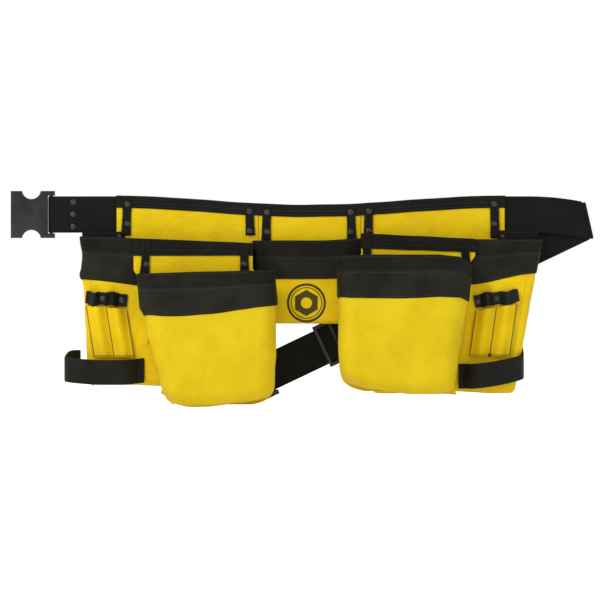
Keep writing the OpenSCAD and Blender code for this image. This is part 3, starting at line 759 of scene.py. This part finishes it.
def hip_bags():
    for side, name in ((LEFT, "bag_left"), (RIGHT, "bag_right")):
        bag = BAGS[side]
        near, far = bag_edges(side)
        if side == LEFT:
            left = lambda f, g=near: g(f) + 2.5 * bump(f, 0.13, 0.06) - 3 * bump(f, 0.26, 0.035)
            right = far
        else:
            left = near
            right = far
        top = lambda x, b=bag, s=side: b["top"] - (10 * ease((x + 320) / 250) if s == LEFT else 0)
        floor = lambda x, b=bag, s=side: b["bottom"] + 1.2 * sin(x / 23) - (1.5 if s == RIGHT else 0)
        shape = shell(left, right, top, floor, PANEL_FRONT, BAG_DEPTH - 1.5, 7, 5, 12, bulge=0.3, drape=1.4,
                      seed=11 * side, share=(0.11, 0.04), proud=0.5)
        body, _ = bag_and_hem(name, shape, bag["hem"], (120, 70), band_canvas, grow=0.3, slant=bag["slant"])
        for at in (0.165, 0.835):
            stitch("gold", body, (at, 0.02), (at, 0.8), out=0.12)
        stitch("gold", body, (0.15, 0.735), (0.85, 0.735), out=0.12)
        if side == LEFT:
            stitch("black", body, (0.385, 0.02), (0.415, 0.52), out=0.12, pitch=2.6, length=2.6, thick=1.0)


POUCH_BACK = BAG_FRONT - CLOTH
POUCHES = {
    "pouch_left": dict(
        left=[(0, -231), (0.28, -227), (0.34, -221), (0.48, -218), (0.66, -212), (0.88, -200), (1, -191)],
        right=[(0, -46), (0.25, -43), (0.7, -44), (0.93, -46), (1, -50)],
        top=[(-235, -69), (-140, -66), (-40, -64)],
        floor=[(-215, -236), (-192, -244), (-164, -250), (-130, -249), (-84, -243), (-45, -235)],
        hem=54, slant=[(0, 1.2), (0.23, 1.15), (0.5, 1.08), (0.77, 0.98), (1, 0.94)],
    ),
    "pouch_right": dict(
        left=[(0, 40), (0.3, 40.5), (0.8, 41), (0.93, 44), (1, 52)],
        right=[(0, 221), (0.28, 217), (0.55, 210), (0.8, 203), (1, 199)],
        top=[(38, -46), (80, -43), (175, -43), (205, -46), (225, -60)],
        floor=[(45, -214), (60, -220), (85, -226), (130, -231), (166, -233), (200, -232)],
        hem=57, slant=[(0, 1.1), (0.23, 1.085), (0.5, 1.06), (0.77, 0.995), (1, 0.97)],
    ),
}
PLATES = {
    "pouch_left": dict(x=(-238, -74), top=-25, slope=(3.5, -3.5, 0), low=-70, rise=-247,
                       tabs=((-87, "inner", 1), (-219, "outer", -3))),
    "pouch_right": dict(x=(71, 228), top=-15, slope=(0, -7.5, 0.7), low=-50, rise=-229,
                        tabs=((79.5, "inner", 1), (212, "outer", 3))),
}


def front_pouches():
    for name, form in POUCHES.items():
        sides = [rounded(form[side]) for side in ("left", "right", "top", "floor")]
        shape = shell(*sides, POUCH_BACK, 50, 24, 7, 20, bulge=2.6, drape=1.0,
                      seed=3 if name == "pouch_left" else 8, share=(0.1, 0.13))
        body, _ = bag_and_hem(name, shape, form["hem"], (120, 90), pouch_canvas,
                              slant=form["slant"])
        stitch("gold", body, (0.1, 0.05), (0.1, 0.72), out=0.12)
        stitch("gold", body, (0.9, 0.05), (0.9, 0.72), out=0.12)
        plate = PLATES[name]
        x0, x1 = plate["x"]
        left, right = sides[:2]

        def back(u, v, left=left, right=right, plate=plate, x0=x0, x1=x1):
            z = lerp(plate["top"] + lerp(*plate["slope"][:2], u) - 1, plate["rise"], v)
            f = min(max((plate["low"] - z) / (plate["low"] - plate["rise"]), 0), 1)
            wide = ease((plate["low"] + 6 - z) / 12)
            inset = 24 - sqrt(max(24**2 - max(24 - (z - plate["rise"]), 0) ** 2, 0))
            lo = lerp(x0 + 1, left(f) + 1, wide) + inset
            hi = lerp(x1 - 1, right(f) - 1, wide) - inset
            x = lerp(lo, hi, u)
            return x, POUCH_BACK + 0.2 - 0.3 * abs(ripple((x, 1, z), 20)), z

        lay(name + "_plate", back, (180, plate["top"] - plate["rise"]), (50, 60), 1.3, band_canvas,
            name + "_panel")
        front = POUCH_BACK - 1

        def trim(u, v, x0=x0, x1=x1, plate=plate, front=front):
            x = lerp(x0, x1, u)
            line = [(front - 0.2, -20), (front - 0.35, -10), (front - 0.2, -0.5), (front + 1, 1),
                    (BAG_FRONT - 0.1, 0.6)]
            at = along([Vector((*point, 0)) for point in line], v)
            high, low, follow = plate["slope"]
            held = (at.y + 20) / 20
            shift = lerp(high, low, u) * lerp(follow, 1, min(held, 1))
            z = plate["top"] + at.y + shift + 0.5 * ripple((x, 0, 9), 30)
            return x, at.x + 0.12 * ripple((x, at.y, 5), 14), z

        lay(name + "_plate_binding", trim, (x1 - x0, 23), (60, 14), 0.9, trim_tape, name + "_binding")
        for row in (0.08, 0.3):
            stitch("black", trim, (0.01, row), (0.99, row), out=0.1)
        for x, which, lean in plate["tabs"]:
            head = plate["top"] - 2 + lerp(*plate["slope"][:2], (x - x0) / (x1 - x0))
            tab(f"{name}_hanger_{which}", f"{name}_tab_{which}", x, head, plate["top"] - 46, front - 1.4,
                lean, 0.14)


def pouch_ears():
    """The folded corners left where each pouch's floor is sewn in."""
    for name, corners, y in (
        ("pouch_left_ear", ((-194, -213), (-180, -224), (-200, -231), (-181, -243.5)), POUCH_BACK - 22),
        ("pouch_right_ear", ((180, -219), (196, -214), (176, -231.5), (201, -233.5)), POUCH_BACK - 24),
    ):
        a, b, c, d = (Vector((x, y, z)) for x, z in corners)

        def place(u, v, a=a, b=b, c=c, d=d):
            point = a.lerp(b, u).lerp(c.lerp(d, u), v)
            return point.x, point.y - 4 * sin(pi * u) * (1 - v) - 1.5 * v, point.z

        size = max((b - a).length, (d - c).length), max((c - a).length, (d - b).length)
        lay(name, place, size, (10, 10), 1.2, pouch_canvas,
            area=0.55 * (d - a).cross(c - b).length)
        stitch("gold", place, (0.05, 0.9), (0.95, 0.9), out=0.12)


def middle_pocket():
    top = rounded([(-74, -23.5), (20, -23.5), (82, -20)])
    floor = rounded([(-74, -134), (-40, -137), (60, -137), (82, -137)])
    shape = shell(lambda f: -74 + 3 * f, lambda f: 82, top, floor, PANEL_FRONT, 18, 5, 6, 6, bulge=0.3,
                  drape=0.5, seed=21, share=(0.08, 0.04))
    bag_and_hem("middle_pocket", shape, 53, (90, 50), printed_canvas, line=0.42)


# ---------------------------------------------------------------- sleeves and loops
def strip_line(runs, rise, thickness, steps=12):
    """Side view of a strip that alternates flat runs and raised cells, as (along, out) points."""
    points, start = [Vector((0, thickness, 0))], 0
    for k, run in enumerate(runs):
        for i in range(1, steps + 1):
            t = i / steps
            lift = rise * ((1 - cos(2 * pi * t)) / 2) ** 0.8 if k % 2 else 0
            points.append(Vector((start + run * t, thickness + lift, 0)))
        start += run
    return points


SLEEVES = {LEFT: (291, -183, 9, 302, -101, 5), RIGHT: (274, -182, 8, 286, -98, 9)}
LOOPS = {LEFT: (302, -101, 5, (3, 16, 9, 17, 12)), RIGHT: (286, -98, 9, (4, 22, 9, 17, 9))}


def sleeves(side, name):
    x0, z0, lean, loop_x, loop_z, slope = SLEEVES[side]
    c, s, t = cos(radians(lean)), sin(radians(lean)), tan(radians(slope))
    runs = (2, 24.5, 2, 24.5, 2)
    line = strip_line(runs, 9, 1.2)
    mouth = loop_z - 9.5 / cos(radians(slope)) - 2
    width = sum((b - a).length for a, b in zip(line, line[1:]))

    def place(u, v):
        at = along(line, u)
        a = at.x
        tall = (mouth - loop_x * t + (x0 - a * c) * t - z0 - a * s) / (c - s * t)
        h = lerp(tall, -a * s / c, v)
        x = x0 - a * c + h * s
        z = z0 + a * s + h * c
        flat = 0.55 + 0.45 * (1 - v) ** 0.5
        lift = (at.y - 1.2) * flat + 0.5 * ripple((x, side * 9, z), 15)
        return side * x, BAG_FRONT - 1.2 - max(lift, 0), z

    lay(name + "_cloth", place, (width, 70), (72, 40), 1.0, band_canvas, name)
    for at in (0.012, 0.5, 0.988):
        stitch("black", place, (at, 0.01), (at, 0.99), out=0.25, pitch=2.3, length=2.6, thick=1.5)
    stitch("black", place, (0.01, 0.965), (0.99, 0.965), out=0.25, pitch=2.6, length=2.4, thick=1.2)
    if side == RIGHT:
        knot = Vector(place(0.5, 0.965)) + Vector((0, -1.4, 0))
        for turn in range(6):
            ahead = Vector((cos(turn), 0.2 * sin(3 * turn), sin(turn)))
            across = ahead.cross(Vector((0, 1, 0))).cross(ahead).normalized()
            stitches["black", "belt"].append((knot + ahead * 0.6, ahead, across, 5.2, 2.2))


def tool_loop(side, name):
    x0, z0, slope, runs = LOOPS[side]
    c, s = cos(radians(slope)), sin(radians(slope))
    line = strip_line(runs, 9, 1.4)
    width = sum((b - a).length for a, b in zip(line, line[1:]))

    def place(u, v):
        at = along(line, u)
        h = lerp(9.5, -9.5, v)
        lift = at.y - 1.4
        x = x0 - at.x * c - h * s
        z = z0 - at.x * s + h * c - 0.28 * lift * (1 if at.x < sum(runs[:2]) else -0.6)
        pinch = 1 - 0.1 * (lift < 0.01)
        z = z0 - at.x * s + (z - z0 + at.x * s) * pinch
        return side * x, BAG_FRONT - 1.4 - lift, z

    lay(name + "_tape", place, (width, 19), (80, 10), 1.3, satin_tape, name)
    for at in (0.02, 0.98):
        stitch("black", place, (at, 0.05), (at, 0.95), out=0.1, pitch=3, length=2.2)


HAMMER_LOOPS = {LEFT: (222, 331, -200.5, 0.04, 7), RIGHT: (204, 293, -202, 0.18, 12)}


def hammer_loop(side, name):
    inner, outer, mid_z, climb, sewn_high = HAMMER_LOOPS[side]
    bag = BAGS[side]
    edge_x = bag["outer"][1] + 9
    rise, base = 26, BAG_FRONT - WEB / 2
    mid = (inner + 10 + outer) / 2
    rx = outer - WEB / 2 - mid
    line = [Vector((inner, base, 0)), Vector((inner + 5, base, 0))]
    for i in range(25):
        a = radians(lerp(170, 0, i / 24))
        line.append(Vector((mid + rx * cos(a), base - rise * sin(a), 0)))
    end_y = PANEL_FRONT - 3
    for i in range(1, 9):
        a = radians(lerp(8, 84, i / 8))
        x = edge_x + (outer - WEB / 2 - edge_x) * cos(a)
        line.append(Vector((x, base + (end_y - base) * sin(a), 0)))
    total = sum((b - a).length for a, b in zip(line, line[1:]))

    def place(u, v):
        at = along(line, u)
        droop = 5.0 * sin(pi * min(u * 1.15, 1)) ** 0.8 - 2.5
        back = ease((at.y - base) / (end_y - base)) if u > 0.5 else 0
        z = mid_z + lerp(17, -17, v) - droop + climb * (at.x - mid) + sewn_high * back
        twist = 1.4 * (v - 0.5) * sin(pi * min(u * 1.2, 1))
        return side * at.x, at.y - twist + 0.5 * ripple((at.x, at.y, z), 22), z

    laid = lay(name + "_web", place, (total, 33), (90, 12), WEB, loop_web, name)
    laid.modifiers["wall"].offset = 0
    for at in (0.015, 0.045):
        stitch("black", place, (at, 0.06), (at, 0.94), out=1.0, pitch=3.6)


# ---------------------------------------------------------------- hard parts
SLIDER_AT = 388


def hard_parts():
    for name, node, body, width in (
        ("socket_half", "buckle_socket", "socket", 1.3),
        ("strap_slider", "slider", "slider", 0.4),
        ("plug_half", "buckle_plug", "plug", 0.9),
        ("latch_upper", "latch_arm_upper", "latch_upper", 0.7),
        ("latch_lower", "latch_arm_lower", "latch_lower", 0.7),
    ):
        moulded(name, node, body, black_plastic, width)
    # A dark plastic strip behind the socket's slot: painted shade, so the slot reads dark instead of showing
    # the backdrop through the gap at the bar.
    slot_shade = bmesh.new()
    bmesh.ops.create_cube(slot_shade, size=1)
    for vert in slot_shade.verts:
        x, y, z = vert.co
        vert.co = Vector((BAR_X - 6.125 + 3.35 * x, 6.35 + 0.9 * y, edge(BAR_X) - WEB_W / 2 + 52 * z)) * MM
    bmesh.ops.bevel(slot_shade, geom=slot_shade.edges[:], offset=0.3 * MM, segments=2, profile=0.5, material=-1,
                    affect="EDGES")
    finished("socket_slot_shade", slot_shade, black_plastic, "socket")
    lips = bmesh.new()
    for side in (-1, 1):
        corners = bmesh.ops.create_cube(lips, size=1)["verts"]
        for vert in corners:
            x, y, z = vert.co
            vert.co = Vector(strap_point(SLIDER_AT + 26 * x, 6 + 2 * y, side * (25.2 + 1.2 * z))) * MM
    bmesh.ops.recalc_face_normals(lips, faces=lips.faces)
    bmesh.ops.bevel(lips, geom=lips.edges[:], offset=0.2 * MM, segments=2, profile=0.5, material=-1,
                    affect="EDGES")
    finished("slider_lips", lips, black_plastic, "slider")
    for node in ("band_rivets", "belt_end_rivets", "pouch_rivets", "loop_rivets"):
        moulded(node.replace("rivets", "caps"), node, "belt", rivet_metal, 0)


# ---------------------------------------------------------------- studio
def studio():
    floor_z = cad_box[0][2] - 0.004
    paper = Finish("pale_paper", Base_Color=shade(0.95, 0.95, 0.95), Roughness=0.9)
    paper.shader.inputs["Emission Strength"].default_value = 0.6
    seen_first = Value(paper, paper.node("ShaderNodeLightPath").outputs["Is Camera Ray"])
    paper.feed("Emission Color", paper.blend(seen_first, shade(0.25, 0.25, 0.25), shade(1, 1, 1)))
    mesh = bmesh.new()
    bmesh.ops.create_circle(mesh, cap_ends=True, segments=96, radius=30)
    bmesh.ops.translate(mesh, verts=mesh.verts, vec=(0, 0, floor_z))
    data = bpy.data.meshes.new("floor")
    mesh.to_mesh(data)
    mesh.free()
    data.materials.append(paper.material)
    ground = bpy.data.objects.new("floor", data)
    bpy.context.scene.collection.objects.link(ground)

    world = bpy.context.scene.world or bpy.data.worlds.new("studio")
    bpy.context.scene.world = world
    world.use_nodes = True
    tree = world.node_tree
    sky = tree.nodes["Background"]
    sky.inputs["Color"].default_value = shade(1, 1, 1)
    seen, level = tree.nodes.new("ShaderNodeLightPath"), tree.nodes.new("ShaderNodeMapRange")
    level.inputs["To Min"].default_value, level.inputs["To Max"].default_value = 0.63, 1.0
    tree.links.new(seen.outputs["Is Camera Ray"], level.inputs["Value"])
    tree.links.new(level.outputs["Result"], sky.inputs["Strength"])
    for name, place, size, power in (
        ("key_light", (-1.5, -1.5, 1.7), 0.8, 38),
        ("fill_light", (1.8, -1.8, 0.3), 1.6, 9),
    ):
        lamp = bpy.data.lights.new(name, "AREA")
        lamp.size, lamp.energy = size, power
        holder = bpy.data.objects.new(name, lamp)
        holder.location = place
        aim = Vector((0, 0, -0.1)) - Vector(place)
        holder.rotation_euler = aim.to_track_quat("-Z", "Y").to_euler()
        bpy.context.scene.collection.objects.link(holder)
    lens = bpy.data.cameras.new("camera")
    lens.sensor_width, lens.lens = 36, 36 * 10.0 / 0.816
    lens.clip_end = 100
    eye = bpy.data.objects.new("camera", lens)
    eye.location = (-0.011, -10.02, -0.105)
    eye.rotation_euler = (pi / 2, 0, 0)
    bpy.context.scene.collection.objects.link(eye)
    bpy.context.scene.camera = eye
    bpy.context.scene.view_settings.view_transform = "Standard"


studio()
belt_main()
fold()
strap()
waistband()
hanger_tabs()
wing_tapes()
hip_bags()
front_pouches()
pouch_ears()
middle_pocket()
for side, word in ((LEFT, "left"), (RIGHT, "right")):
    sleeves(side, "tool_sleeves_" + word)
    tool_loop(side, "tool_loop_" + word)
    hammer_loop(side, "hammer_loop_" + word)
hard_parts()
sew()
